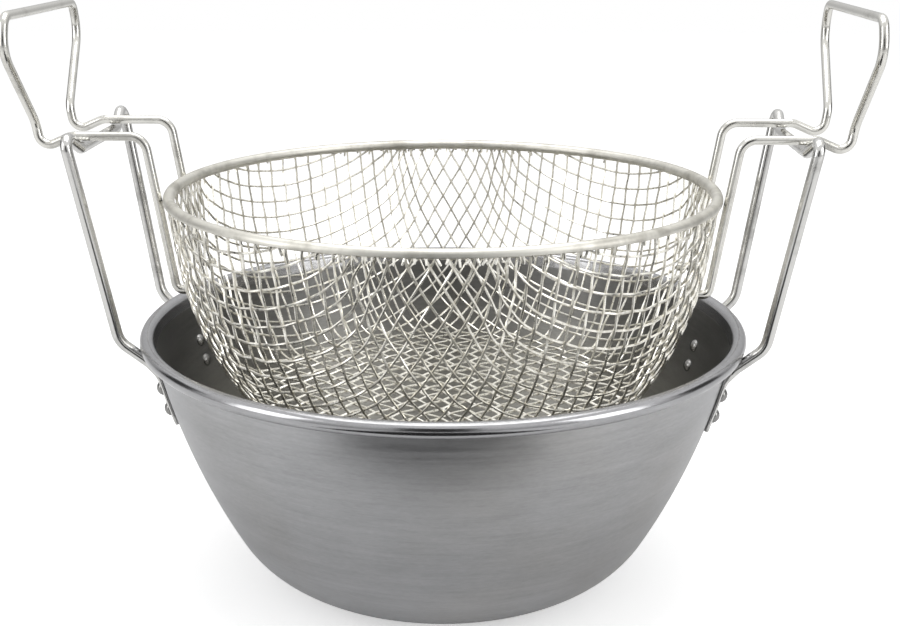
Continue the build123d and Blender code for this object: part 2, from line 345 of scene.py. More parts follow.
def rivetTree():  # a rivet head at each point, its Z along the point's facing
    tree, start = startTree("rivets", {"Rivet": "Object", "Material": "Material"})
    rivet = start["Geometry"].node("GeometryNodeObjectInfo", {"Object": start["Rivet"]}, out=4)
    facing = rivet.node("GeometryNodeInputNamedAttribute", {"Name": "facing"}, {"data_type": "FLOAT_VECTOR"})
    turn = rivet.node("FunctionNodeAlignRotationToVector", {"Vector": facing}, {"axis": "Z"})
    shape = rivet.node("GeometryNodeInstanceOnPoints",
                       {"Points": start["Geometry"], "Instance": rivet, "Rotation": turn})
    endTree(shape, start["Material"])
    return tree


turned = turnedTree()
wires = wireTree()
riveting = rivetTree()


def lineMesh(name, chains, closed=False, marks=None):
    # marks holds numbers kept at each point by name, in step with the chains
    points = [point for chain in chains for point in chain]
    edges = []
    first = 0
    for chain in chains:
        edges += [(first + i, first + i + 1) for i in range(len(chain) - 1)]
        if closed:
            edges.append((first + len(chain) - 1, first))
        first += len(chain)
    mesh = bpy.data.meshes.new(name)
    mesh.from_pydata(points, edges, [])
    for label, numbers in (marks or {}).items():
        flat = [number for chain in numbers for number in chain]
        mesh.attributes.new(label, "FLOAT", "POINT").data.foreach_set("value", flat)
    return mesh


def grow(tree, mesh, values, name):
    carrier = bpy.data.objects.new(name + "Source", mesh)
    scene.collection.objects.link(carrier)
    modifier = carrier.modifiers.new(tree.name, "NODES")
    modifier.node_group = tree
    for socket in tree.interface.items_tree:
        if socket.in_out == "INPUT" and socket.name in values:
            modifier[socket.identifier] = values[socket.name]
    graph = bpy.context.evaluated_depsgraph_get()
    grown = bpy.data.meshes.new_from_object(carrier.evaluated_get(graph))
    carrier.modifiers.remove(modifier)
    bpy.data.objects.remove(carrier)
    return addPiece(grown, name)


def addPiece(mesh, name, sharp=40):  # sharp: edges that turn more degrees than that stay sharp
    faces = bmesh.new()
    faces.from_mesh(mesh)
    bmesh.ops.recalc_face_normals(faces, faces=faces.faces)
    faces.to_mesh(mesh)
    faces.free()
    mesh.name = name
    mesh.set_sharp_from_angle(angle=math.radians(sharp))
    piece = bpy.data.objects.new(name, mesh)
    scene.collection.objects.link(piece)
    return piece


def settle(piece, body, slot, *nodes):  # gives a finished piece its body and hides the CAD nodes it replaces; slot is not used
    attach(piece, body)
    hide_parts(*nodes)
    print(piece.name, len(piece.data.polygons), "faces")


# walls drawn as arcs: a lean is the angle from the vertical, 90 is a flat floor

def offWall(point, lean, out):
    return (point[0] + out * cosine(lean), point[1] - out * sine(lean))


def arcDown(centre, radius, leanFrom, leanTo, step):
    count = max(2, math.ceil(abs(math.radians(leanTo - leanFrom)) * radius / step))
    leans = [leanFrom + (leanTo - leanFrom) * i / count for i in range(count + 1)]
    return [offWall(centre, lean, radius) for lean in leans]


def turnedPiece(name, outline, marks, segments, material, closed=True):
    reach = 1000.0  # the radius of the ring that carries the profile
    chain = [((radius - reach) * mm, -height * mm, 0) for radius, height in outline]
    mesh = lineMesh(name, [chain], closed, {"inside": [marks]} if marks else None)
    values = {"Segments": segments, "Reach": reach * mm, "Material": material}
    return grow(turned, mesh, values, name)


# bowl

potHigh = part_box("pot_body")[1]
bowl = {
    "radius": potHigh.x / mm,
    "height": potHigh.z / mm,
    "sheet": 1.2,
    "rollRadius": 3.3,
    "rollTurn": 285.0,
    "leanTop": 11.0,
    "leanLow": 29.0,
    "cornerRadius": 48.0,
    "segments": 288,
    "step": 2.5,  # between the profile's points on long arcs
    "rollStep": 0.45,
    "floorSteps": 12,
    "insideEnd": 0.25,  # the share of the roll over which the inside's look, its painted shade, ends
}
rollCentre = (bowl["radius"] - bowl["rollRadius"], bowl["height"] - bowl["rollRadius"])
wallTop = offWall(rollCentre, bowl["leanTop"], bowl["sheet"] - bowl["rollRadius"])
wallRadius = (wallTop[1] - bowl["cornerRadius"] * (1 - sine(bowl["leanLow"]))) / (
    sine(bowl["leanLow"]) - sine(bowl["leanTop"]))
wallCentre = offWall(wallTop, bowl["leanTop"], -wallRadius)
wallLow = offWall(wallCentre, bowl["leanLow"], wallRadius)
cornerCentre = offWall(wallLow, bowl["leanLow"], -bowl["cornerRadius"])


def wallLean(run):  # the wall's lean at a distance down it from the roll
    return bowl["leanTop"] + math.degrees(run / wallRadius)


def wallPoint(run, out):
    return offWall(wallCentre, wallLean(run), wallRadius + out)


def bowlSide(depth):  # from the roll down to the middle, depth inside the outer face
    down = arcDown(wallCentre, wallRadius - depth, bowl["leanTop"], bowl["leanLow"], bowl["step"])
    down += arcDown(cornerCentre, bowl["cornerRadius"] - depth, bowl["leanLow"], 90, bowl["step"])[1:]
    count = bowl["floorSteps"]
    down += [(cornerCentre[0] * (1 - i / count), depth) for i in range(1, count + 1)]
    return down


def bowlRoll(radius):  # from the wall over the top and down the outside
    count = math.ceil(math.radians(bowl["rollTurn"]) * radius / bowl["rollStep"])
    start = 180 - bowl["leanTop"]
    turns = [start - bowl["rollTurn"] * i / count for i in range(1, count + 1)]
    return [(rollCentre[0] + radius * cosine(turn), rollCentre[1] + radius * sine(turn)) for turn in turns]


def potBody():
    roll = bowlRoll(bowl["rollRadius"])
    inner = bowlSide(bowl["sheet"])[::-1] + roll
    outer = bowlRoll(bowl["rollRadius"] - bowl["sheet"])[::-1] + bowlSide(0)
    # the inside mark: where the painted shade and the painted reflection low down lie
    marks = [1.0] * len(inner) + [0.0] * len(outer)
    for i in range(len(roll)):
        marks[len(inner) - 1 - i] = 1 - smooth((len(roll) - i) / len(roll) / bowl["insideEnd"])
    piece = turnedPiece("potBody", inner + outer, marks, bowl["segments"], bowlSteel, closed=False)
    settle(piece, "pot", "spun_steel", "pot_body")


potBody()


# rivets

riveted = {
    "first": 22.0,  # down the wall from the roll
    "pitch": 10.5,
    "count": 2,
    "head": 6.4,
    "headHeight": 2.0,
    "skirt": 0.25,  # the head's straight edge under its dome
    "sunk": 0.4,  # how far that edge runs into the curved wall
    "domeSteps": 8,
    "segments": 24,
    "tab": 2.0,  # the thickness of the wire's flattened end
}
handleFoot = {
    "angle": 15.592,  # of the feet about the axis, each side of X
    "corner": (148.81, 120.9),  # the radius and height where the wire turns up, outside the roll
    "wire": 5.0,
    "wallOut": 2.8,  # the wire's middle off the wall where it comes nearest
    "wallRun": 9.4,
    "tabStart": 13.0,
    "tabLength": 28.0,
    "tabWidth": 8.4,
    "tabShares": (0, 0.02, 0.08, 0.2, 0.4, 0.6, 0.8),  # of the tab's length, up from its end
    "liftRun": 2.0,  # where the wire leaves the wall, down from the tab's start
    "lift": 0.25,
    "bendRadius": 12.0,
    "flatShort": 5.0,  # how far inside the tab it begins to turn round, and over what length
    "flatSpan": 9.0,
    "tipHalf": 0.2,  # half the width of the tab's very end
    "tipSteps": (0.15, 0.6, 1.3, 2.2, 3.2),  # the points along its round end
    "squareness": 1.4,  # how square the wire's section is when it is flat
    "squareRatio": 3.0,  # the width to the thickness where it is that square
}
footAngle = handleFoot["angle"]
footCorner = handleFoot["corner"]


def headOutline():  # a domed head, its seat at height 0
    half = riveted["head"] / 2
    tall = riveted["headHeight"] - riveted["skirt"]
    crown = (half ** 2 + tall ** 2) / (2 * tall)
    edge = math.degrees(math.asin(half / crown))
    turns = [edge * i / riveted["domeSteps"] for i in range(riveted["domeSteps"] + 1)]
    dome = [(crown * sine(turn), riveted["headHeight"] - crown * (1 - cosine(turn))) for turn in turns]
    return dome + [(half, -riveted["sunk"]), (0, -riveted["sunk"])]


def rivetHeads():
    head = turnedPiece("rivetHead", headOutline(), None, riveted["segments"], rivetSteel, closed=False)
    points = []
    facings = []
    for angle in (footAngle, -footAngle, footAngle + 180, 180 - footAngle):
        for index in range(riveted["count"]):
            run = riveted["first"] + riveted["pitch"] * index
            lean = wallLean(run)
            for out, way in ((riveted["tab"], 1), (-bowl["sheet"], -1)):
                radius, level = wallPoint(run, out)
                points.append((radius * cosine(angle) * mm, radius * sine(angle) * mm, level * mm))
                facings += [way * cosine(lean) * cosine(angle), way * cosine(lean) * sine(angle),
                            -way * sine(lean)]
    mesh = bpy.data.meshes.new("rivetPoints")
    mesh.from_pydata(points, [], [])
    mesh.attributes.new("facing", "FLOAT_VECTOR", "POINT").data.foreach_set("vector", facings)
    piece = grow(riveting, mesh, {"Rivet": head, "Material": rivetSteel}, "rivets")
    bpy.data.objects.remove(head)
    nodes = ["rivets_" + side + "_" + end for side in ("left", "right") for end in ("front", "back")]
    settle(piece, "pot", "rivet_steel", *nodes)


rivetHeads()


# bent wires

def bentLine(points, radii, degrees=6.0):  # the points with an arc of each radius at each inner corner
    line = [points[0]]
    for before, corner, after, radius in zip(points, points[1:], points[2:], radii):
        back = (before - corner).normalized()
        ahead = (after - corner).normalized()
        turn = math.pi - back.angle(ahead)
        reach = radius * math.tan(turn / 2)
        centre = corner + (back + ahead).normalized() * radius / math.cos(turn / 2)
        start = corner + back * reach - centre
        axis = back.cross(ahead).normalized() * -1
        count = max(3, math.ceil(math.degrees(turn) / degrees))
        line += [centre + Matrix.Rotation(turn * i / count, 3, axis) @ start for i in range(count + 1)]
    return line + [points[-1]]


def spread(line, longest):  # no step longer than that
    result = [line[0]]
    for start, end in zip(line, line[1:]):
        count = max(1, math.ceil((end - start).length / longest))
        result += [start.lerp(end, i / count) for i in range(1, count + 1)]
    return result


def mirrored(line):  # the line on the other side of Y = 0, back from its end
    return [Vector((p.x, -p.y, p.z)) for p in reversed(line)]


def turnedRound(line):  # half a turn about Z
    return [Vector((-p.x, -p.y, p.z)) for p in line]


def aheadAt(line, i):  # the line's direction at one of its points
    return (line[min(i + 1, len(line) - 1)] - line[max(i - 1, 0)]).normalized()


potBar = {
    "level": rollCentre[1] + 87.0,
    "halfWidth": 28.5,
    "earHalfWidth": 47.5,
    "earRise": 9.5,
    "earRadius": 4.5,
    "barRadius": 5.0,
    "lean": 9.5,
    "sides": 20,
    "longest": 4.0,
}


def barX(level):  # the X of the handle's leaning plane
    return footCorner[0] * cosine(footAngle) + (level - footCorner[1]) * tangent(potBar["lean"])


def footPlace(point):  # from radius and height in the foot's plane
    return Vector((point[0] * cosine(footAngle), point[0] * sine(footAngle), point[1]))


def handleLine():  # the wire's middle, from one flattened end over the bar to the other
    foot = handleFoot
    end = foot["tabStart"] + foot["tabLength"]
    seat = riveted["tab"] / 2
    tab = [footPlace(wallPoint(end - foot["tabLength"] * share, seat)) for share in foot["tabShares"]]
    earLevel = potBar["level"] + potBar["earRise"]
    half = [
        footPlace(wallPoint(foot["tabStart"] + foot["liftRun"], seat + foot["lift"])),
        footPlace(wallPoint(foot["wallRun"], foot["wallOut"])),
        footPlace(footCorner),
        Vector((barX(earLevel), potBar["earHalfWidth"], earLevel)),
        Vector((barX(potBar["level"]), potBar["halfWidth"], potBar["level"])),
    ]
    radii = [foot["bendRadius"], foot["bendRadius"], potBar["earRadius"], potBar["barRadius"]]
    line = bentLine(half + mirrored(half), radii + radii[::-1])
    return spread(tab + line + mirrored(tab), potBar["longest"])


def lengthsAlong(line):
    lengths = [0.0]
    for start, stop in zip(line, line[1:]):
        lengths.append(lengths[-1] + (stop - start).length)
    return lengths


def withTips(line, lengths):  # more points near both ends, where the tab's outline is round
    total = lengths[-1]
    tips = list(handleFoot["tipSteps"])
    wanted = sorted(set([round(v, 4) for v in lengths] + tips + [round(total - tip, 4) for tip in tips]))
    result = []
    step = 0
    for length in wanted:
        while step < len(lengths) - 2 and lengths[step + 1] < length:
            step += 1
        share = (length - lengths[step]) / (lengths[step + 1] - lengths[step])
        result.append(line[step].lerp(line[step + 1], min(max(share, 0), 1)))
    return result, wanted


def carried(line, first, last):  # a direction carried along the line, any spare twist in its middle
    directions = []
    across = first.copy()
    for i in range(len(line)):
        ahead = aheadAt(line, i)
        across = (across - ahead * across.dot(ahead)).normalized()
        directions.append((across.copy(), ahead))
    across, ahead = directions[-1]
    last = (last - ahead * last.dot(ahead)).normalized()
    spare = math.atan2(ahead.dot(across.cross(last)), across.dot(last))
    spare = (spare + math.pi / 2) % math.pi - math.pi / 2
    result = []
    for i, (across, ahead) in enumerate(directions):
        share = smooth((i / (len(line) - 1) - 0.25) * 2)
        result.append(Matrix.Rotation(spare * share, 3, ahead) @ across)
    return result


def flatSection(fromEnd):  # half width and half thickness by distance from the wire's end
    foot = handleFoot
    halfWire = foot["wire"] / 2
    halfWidth = foot["tabWidth"] / 2
    share = smooth((fromEnd - foot["tabLength"] + foot["flatShort"]) / foot["flatSpan"])
    if fromEnd < halfWidth:
        halfWidth = math.sqrt(max(foot["tipHalf"] ** 2, halfWidth ** 2 - (halfWidth - fromEnd) ** 2))
    halfThick = riveted["tab"] / 2
    return halfWidth + (halfWire - halfWidth) * share, halfThick + (halfWire - halfThick) * share


def ringOf(centre, across, thick, halfWidth, halfThick):  # the wire's outline, squarer the flatter it is
    flatness = smooth((halfWidth / halfThick - 1) / (handleFoot["squareRatio"] - 1))
    power = 2 / (2 + handleFoot["squareness"] * flatness)
    ring = []
    for i in range(potBar["sides"]):
        angle = 2 * math.pi * i / potBar["sides"]
        c, s = math.cos(angle), math.sin(angle)
        u = math.copysign(abs(c) ** power, c) * halfWidth
        v = math.copysign(abs(s) ** power, s) * halfThick
        ring.append((centre + across * u + thick * v) * mm)
    return ring


def tubeMesh(name, outlines, turn, material):  # a closed skin over the outlines, turned about Z
    shape = bmesh.new()
    rings = [[shape.verts.new(corner) for corner in outline] for outline in outlines]
    for ring, following in zip(rings, rings[1:]):
        for i in range(len(ring)):
            j = (i + 1) % len(ring)
            shape.faces.new((ring[i], ring[j], following[j], following[i]))
    shape.faces.new(rings[0][::-1])
    shape.faces.new(rings[-1])
    bmesh.ops.rotate(shape, verts=shape.verts, matrix=Matrix.Rotation(turn, 3, "Z"))
    mesh = bpy.data.meshes.new(name)
    shape.to_mesh(mesh)
    shape.free()
    mesh.materials.append(material)
    for face in mesh.polygons:
        face.use_smooth = True
    return mesh


def potHandle(name, turn):
    line = handleLine()
    lengths = lengthsAlong(line)
    total = lengths[-1]
    line, lengths = withTips(line, lengths)
    first, last = [Vector((-sine(angle), cosine(angle), 0)) for angle in (footAngle, -footAngle)]
    outlines = []
    for i, across in enumerate(carried(line, first, last)):
        thick = aheadAt(line, i).cross(across).normalized()
        halfWidth, halfThick = flatSection(min(lengths[i], total - lengths[i]))
        outlines.append(ringOf(line[i], across, thick, halfWidth, halfThick))
    return addPiece(tubeMesh(name, outlines, turn, brightWire), name, 50)


settle(potHandle("potHandleRight", 0), "pot", "bright_wire", "pot_handle_right")
settle(potHandle("potHandleLeft", math.pi), "pot", "bright_wire", "pot_handle_left")


# basket handles

hanger = {
    "wire": 4.0,
    "hangGap": 0.3,
    "halfWidth": 24.8,
    "legLevel": 141.0,
    "riserX": 130.312,
    "hookX": 119.509,
    "hookTip": 112.253,  # inside the net
    "hookRadius": 3.5,
    "riserRadius": 7.5,
    "armPast": 5.0,  # past the pot handle's bar
    "armRadius": 8.0,
    "dipPast": 18.6,
    "dipDrop": 6.0,
    "dipRadius": 5.0,
    "neckPast": 20.4,
    "neckRise": 6.2,
    "neckRadius": 10.0,
    "gripPast": 22.3,
    "shoulderHalfWidth": 52.0,
    "shoulderRise": 39.0,
    "shoulderRadius": 14.0,
    "gripHalfWidth": 46.6,
    "gripRise": 53.0,
    "gripRadius": 6.0,
    "sides": 20,
    "longest": 3.0,
}
armLevel = potBar["level"] + handleFoot["wire"] / 2 + hanger["hangGap"] + hanger["wire"] / 2


def basketHandle(name, side):
    h = hanger
    y = h["halfWidth"]
    bar = barX(potBar["level"])
    half = [
        Vector((h["hookTip"], y, h["legLevel"])),
        Vector((h["hookX"], y, h["legLevel"])),
        Vector((h["riserX"], y, armLevel)),
        Vector((bar + h["armPast"], y, armLevel)),
        Vector((bar + h["dipPast"], y, armLevel - h["dipDrop"])),
        Vector((bar + h["neckPast"], y, armLevel + h["neckRise"])),
        Vector((bar + h["gripPast"], h["shoulderHalfWidth"], armLevel + h["shoulderRise"])),
        Vector((bar + h["gripPast"], h["gripHalfWidth"], armLevel + h["gripRise"])),
    ]
    radii = [h[key + "Radius"] for key in ("hook", "riser", "arm", "dip", "neck", "shoulder", "grip")]
    line = spread(bentLine(half + mirrored(half), radii + radii[::-1]), h["longest"])
    if side < 0:
        line = turnedRound(line)
    mesh = lineMesh(name, [[point * mm for point in line]])
    values = {"Wire radius": h["wire"] / 2 * mm, "Sides": h["sides"], "Material": tinnedWire}
    return grow(wires, mesh, values, name)


settle(basketHandle("basketHandleRight", 1), "basket", "tinned_wire", "basket_handle_right")
settle(basketHandle("basketHandleLeft", -1), "basket", "tinned_wire", "basket_handle_left")


# basket rim

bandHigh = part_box("basket_rim_band")[1]
band = {
    "outer": bandHigh.x / mm,
    "width": 5.2,
    "sheet": 0.5,
    "outerEnd": -15.0,  # where the roll's outer edge ends, over the net
    "innerEnd": 235.0,  # and its inner edge
    "turnSteps": 30,
    "segments": 288,
    "waves": 7,  # how its lower half wanders, where it was rolled over the wires
    "waveSize": 0.10,
    "waveRates": (40, 150),
    "waveShares": (0.3, 1),
    "waveSum": 2.2,  # what their sum is divided by
    "seed": 11,
}
bandCentre = (band["outer"] - band["width"] / 2, bandHigh.z / mm - band["width"] / 2)


def rimBand():
    x, z = bandCentre
    span = band["innerEnd"] - band["outerEnd"]
    turns = [band["outerEnd"] + span * i / band["turnSteps"] for i in range(band["turnSteps"] + 1)]
    outline = [(x + band["width"] / 2 * cosine(turn), z + band["width"] / 2 * sine(turn)) for turn in turns]
    inner = band["width"] / 2 - band["sheet"]
    outline += [(x + inner * cosine(turn), z + inner * sine(turn)) for turn in reversed(turns)]
    piece = turnedPiece("basketRimBand", outline, None, band["segments"], bandSteel)
    draw = random.Random(band["seed"])
    waves = [(draw.randint(*band["waveRates"]), draw.uniform(0, 6.3), draw.uniform(*band["waveShares"]))
             for _ in range(band["waves"])]
    for vertex in piece.data.vertices:
        if vertex.co.z < z * mm:
            angle = math.atan2(vertex.co.y, vertex.co.x)
            sway = sum(size * math.sin(rate * angle + phase) for rate, phase, size in waves) / band["waveSum"]
            vertex.co.z += sway * band["waveSize"] * mm
    settle(piece, "basket", "rim_band", "basket_rim_band")


rimBand()
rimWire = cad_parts["basket_rim_wire"].data
rimWire.materials.clear()
rimWire.materials.append(tinnedWire)


# woven net of the basket

meshLow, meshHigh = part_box("basket_mesh")
net = {
    "wire": 1.1,
    "shell": 1.8,  # how thick the CAD shell is that the net lies in
    "pitch": 8.0,
    "lean": 8.4,
    "mouthRadius": 40.0,
    "shoulderRadius": 142.0,
    "shoulderLean": 36.0,
    "cornerRadius": 13.5,
    "lipOuter": meshHigh.x / mm,
    "lipLevel": bandCentre[1] - band["width"] / 2,
    "floorLevel": meshLow.z / mm,
    "top": meshHigh.z / mm - 0.2,  # where the wires are cut, under the rim wire
    "past": 60.0,  # how far the surface goes on past the lip, so that wires can be cut
    "step": 0.5,  # between the profile's points
    "turn": 45.0,  # the first wires run this far from X
    "crimp": 0.30,  # how far a wire swings off the middle where it crosses another
    "perPitch": 6,
    "sides": 6,
    "shake": 0.12,
    "pinch": 0.7,  # how far wires wander where the net is squeezed
    "squeezed": (62.0, 32.0),  # the angles between wires at which that begins and is whole
    "ease": 0.16,  # the angle beside each seam over which its cells are drawn wide
    "easeFrom": 115.0,  # how far up the net that starts
    "seed": 5,
}
tails = {  # the wires' cut ends, folded over the rim
    "low": (0.3, 2.0),  # how far they show under the band
    "highest": 0.3,  # a wire that ends further under the top has none
    "inset": 0.1,
    "start": 0.5,  # how far round the tail starts from its wire
    "drift": 0.9,  # how far it strays, and how far it goes its wire's own way
    "lean": 0.6,
    "tuck": 0.35,  # how far its end is pressed in, and the share where that begins
    "tuckFrom": 0.6,
    "steps": 5,
    "crossing": 0.3,
}


def netProfile():  # the net's middle surface: radius and height, and the distance to each
    middle = net["shell"] / 2
    lean = net["lean"]
    lip = (net["lipOuter"], net["lipLevel"])
    mouthCentre = offWall(lip, 0, -net["mouthRadius"])
    mouthEnd = offWall(mouthCentre, lean, net["mouthRadius"])
    shoulderDrop = net["shoulderRadius"] * (sine(net["shoulderLean"]) - sine(lean))
    cornerDrop = net["cornerRadius"] * (1 - sine(net["shoulderLean"]))
    wallDrop = mouthEnd[1] - net["floorLevel"] - shoulderDrop - cornerDrop
    wallEnd = (mouthEnd[0] - wallDrop * tangent(lean), mouthEnd[1] - wallDrop)
    shoulderCentre = offWall(wallEnd, lean, -net["shoulderRadius"])
    shoulderEnd = offWall(shoulderCentre, net["shoulderLean"], net["shoulderRadius"])
    floorCentre = offWall(shoulderEnd, net["shoulderLean"], -net["cornerRadius"])
    count = round(floorCentre[0] / net["step"])
    points = [(floorCentre[0] * i / count, net["floorLevel"] + middle) for i in range(count)]
    points += arcDown(floorCentre, net["cornerRadius"] - middle, 90, net["shoulderLean"], net["step"])[:-1]
    points += arcDown(shoulderCentre, net["shoulderRadius"] - middle, net["shoulderLean"], lean, net["step"])
    points += arcDown(mouthCentre, net["mouthRadius"] - middle, lean, 0, net["step"])
    points.append((net["lipOuter"] - middle, net["lipLevel"] + net["past"]))
    lengths = [0.0]
    for start, stop in zip(points, points[1:]):
        lengths.append(lengths[-1] + math.dist(start, stop))
    return points, lengths


netPoints, netLengths = netProfile()
lipLength = netLengths[-2]


def netAt(length, angle):  # a point of the middle surface
    high = min(max(bisect_right(netLengths, length), 1), len(netLengths) - 1)
    low = high - 1
    share = (length - netLengths[low]) / (netLengths[high] - netLengths[low])
    radius = netPoints[low][0] + (netPoints[high][0] - netPoints[low][0]) * share
    level = netPoints[low][1] + (netPoints[high][1] - netPoints[low][1]) * share
    return Vector((radius * math.cos(angle), radius * math.sin(angle), level))


def netNormal(length, angle):
    down = netAt(max(length - net["step"], 0), angle)
    up = netAt(length + net["step"], angle)
    around = Vector((-math.sin(angle), math.cos(angle), 0))
    return around.cross(up - down).normalized()


def nextKnot(first, second, before):  # the knot a pitch from both its neighbours, by Newton's steps
    pitch = net["pitch"]
    a, b, c = [netAt(*knot) for knot in (first, second, before)]
    guess = a + b - c
    angle = math.atan2(guess.y, guess.x)
    length = first[0] + second[0] - before[0] if before[0] else pitch * math.sqrt(2)
    small = 1e-3
    for _ in range(25):
        point = netAt(length, angle)
        gaps = [(point - a).length_squared - pitch ** 2, (point - b).length_squared - pitch ** 2]
        if max(abs(gap) for gap in gaps) < 1e-5:
            break
        along = (netAt(length + small, angle) - netAt(length - small, angle)) / (2 * small)
        around = (netAt(length, angle + small) - netAt(length, angle - small)) / (2 * small)
        rows = Matrix([[2 * (point - a).dot(along), 2 * (point - a).dot(around)],
                       [2 * (point - b).dot(along), 2 * (point - b).dot(around)]])
        change = rows.inverted() @ Vector((-gaps[0], -gaps[1]))
        ease = max(abs(change[0]) / 3, abs(change[1]) / 0.1, 1)  # no step over 3 mm or 0.1 of a radian
        length += change[0] / ease
        angle += change[1] / ease
    return length, angle


def quarterNet():  # knots by their counts along two first wires, square in the middle
    last = lipLength + 2 * net["pitch"]
    count = math.ceil(last / net["pitch"])
    knots = {}
    for i in range(count + 1):
        knots[i, 0] = (i * net["pitch"], 0.0)
        knots[0, i] = (i * net["pitch"], math.pi / 2)
    for total in range(2, 2 * count):
        for i in range(1, total):
            j = total - i
            around = [knots.get(key) for key in ((i - 1, j), (i, j - 1), (i - 1, j - 1))]
            if None not in around and min(around[0][0], around[1][0]) < last:
                knots[i, j] = nextKnot(*around)
    return knots


def easedAngle(length, angle):  # draws the squeezed cells of each seam apart towards the rim
    share = smooth((length - net["easeFrom"]) / (lipLength - net["easeFrom"]))
    quarter = math.pi / 2
    off = (angle + quarter / 2) % quarter - quarter / 2
    return angle + share * off * math.exp(-(off / net["ease"]) ** 2)


def joinedQuarters():
    quarter = quarterNet()
    knots = {}
    for turn in range(4):
        for (i, j), (length, angle) in quarter.items():
            if j == 0 and i > 0 or i == 0 and j == 0 and turn:
                continue  # the next quarter brings this wire
            key = (i, j)
            for _ in range(turn):
                key = (-key[1], key[0])
            turned = angle + math.radians(net["turn"] + 90 * turn)
            knots[key] = (length, easedAngle(length, turned))
    return knots


def squeezeAt(knots, i, j):  # how much the cells round a knot are squeezed, from 0 to 1
    around = [knots.get(key) for key in ((i - 1, j), (i + 1, j), (i, j - 1), (i, j + 1))]
    if None in around:
        return 0
    ends = [netAt(*knot) for knot in around]
    way = (ends[1] - ends[0]).angle(ends[3] - ends[2])
    start, whole = net["squeezed"]
    return smooth((start - math.degrees(min(way, math.pi - way))) / (start - whole))


def wholeNet():  # the knots, each shaken a little from its place
    knots = joinedQuarters()
    squeezed = {key: squeezeAt(knots, *key) for key in knots}
    draw = random.Random(net["seed"])
    for key, (length, angle) in list(knots.items()):
        size = net["shake"] + net["pinch"] * squeezed[key]
        radius = max(netAt(length, 0).x, 1)
        shaken = max(length + draw.uniform(-1, 1) * size, 0)
        knots[key] = (shaken, angle + draw.uniform(-1, 1) * size / radius)
    return knots


def throughPoints(before, start, stop, after, share):  # a smooth curve from start to stop
    square = (2 * before - 5 * start + 4 * stop - after) * share ** 2
    cube = (3 * start - before - 3 * stop + after) * share ** 3
    return 0.5 * (2 * start + (stop - before) * share + square + cube)


def netWire(run, way):  # run: the knots along a wire, way: 1 or -1, over or under the first
    places = [netAt(*knot) for knot in run]
    normals = [netNormal(*knot) for knot in run]
    chain = []
    marks = []
    for i in range(len(run) - 1):
        before = places[i - 1] if i else places[0] * 2 - places[1]
        after = places[i + 2] if i + 2 < len(run) else places[-1] * 2 - places[-2]
        for k in range(net["perPitch"]):
            share = k / net["perPitch"]
            point = throughPoints(before, places[i], places[i + 1], after, share)
            normal = normals[i].lerp(normals[i + 1], share).normalized()
            swing = way * (-1) ** i * net["crimp"] * math.cos(math.pi * share)
            chain.append(point + normal * swing)
            marks.append(abs(math.cos(math.pi * share)))
    chain.append(places[-1] + normals[-1] * way * (-1) ** (len(run) - 1) * net["crimp"])
    marks.append(1.0)
    return chain, marks


def cutAtTop(chain, marks):  # keeps what is below the net's top, cut where it crosses that level
    pieces = []
    part, numbers = [], []
    for i, point in enumerate(chain):
        inside = point.z <= net["top"]
        if i and inside != (chain[i - 1].z <= net["top"]):
            share = (net["top"] - chain[i - 1].z) / (point.z - chain[i - 1].z)
            part.append(chain[i - 1].lerp(point, share))
            numbers.append(marks[i])
            if not inside:
                pieces.append((part, numbers))
                part, numbers = [], []
        if inside:
            part.append(point)
            numbers.append(marks[i])
    if part:
        pieces.append((part, numbers))
    return [piece for piece in pieces if len(piece[0]) > 2]


def unbroken(steps):  # runs of steps that follow each other, three or more
    runs = [[steps[0]]]
    for step in steps[1:]:
        if step == runs[-1][-1] + 1:
            runs[-1].append(step)
        else:
            runs.append([step])
    return [run for run in runs if len(run) > 2]


def family(knots, across):  # the wires of one direction
    chains, marks = [], []
    lines = {}
    for key in knots:
        lines.setdefault(key[across], []).append(key[1 - across])
    for line in sorted(lines):
        for run in unbroken(sorted(lines[line])):
            keys = [(step, line) if across else (line, step) for step in run]
            way = (-1) ** (sum(keys[0]) % 2) * (1 if across else -1)
            for part, numbers in cutAtTop(*netWire([knots[key] for key in keys], way)):
                chains.append([point * mm for point in part])
                marks.append(numbers)
    return chains, marks


def wireTail(end, inner, draw):  # from the wire's end at the top of the net down its outside
    out = net["lipOuter"] - tails["inset"]
    angle = math.atan2(end.y, end.x)
    slide = angle - math.atan2(inner.y, inner.x)
    slide = (slide + math.pi) % (2 * math.pi) - math.pi
    drift = draw.uniform(-tails["drift"], tails["drift"]) + math.copysign(tails["lean"], slide)
    low = net["lipLevel"] - draw.uniform(*tails["low"])
    tail = []
    for i in range(tails["steps"] + 1):
        share = i / tails["steps"]
        turn = angle + (tails["start"] + drift * share) / out
        radius = out - tails["tuck"] * smooth((share - tails["tuckFrom"]) / (1 - tails["tuckFrom"]))
        level = net["top"] + (low - net["top"]) * share
        tail.append(Vector((radius * math.cos(turn), radius * math.sin(turn), level)) * mm)
    return tail


def wireTails(chains, draw):
    ends = [pair for chain in chains for pair in ((chain[0], chain[1]), (chain[-1], chain[-2]))]
    lowest = (net["top"] - tails["highest"]) * mm
    return [wireTail(end, inner, draw) for end, inner in ends if end.z >= lowest]


def wovenNet():
    knots = wholeNet()
    draw = random.Random(net["seed"] + 1)
    values = {"Wire radius": net["wire"] / 2 * mm, "Sides": net["sides"], "Material": netWireSteel}
    for across, name in ((0, "basketMeshWarp"), (1, "basketMeshWeft")):
        chains, marks = family(knots, across)
        folded = wireTails(chains, draw)
        marks += [[tails["crossing"]] * len(tail) for tail in folded]
        mesh = lineMesh(name, chains + folded, marks={"crossing": marks})
        settle(grow(wires, mesh, values, name), "basket", "tinned_mesh", "basket_mesh")
    print("net woven,", len(knots), "knots")


wovenNet()


# camera, floor and light

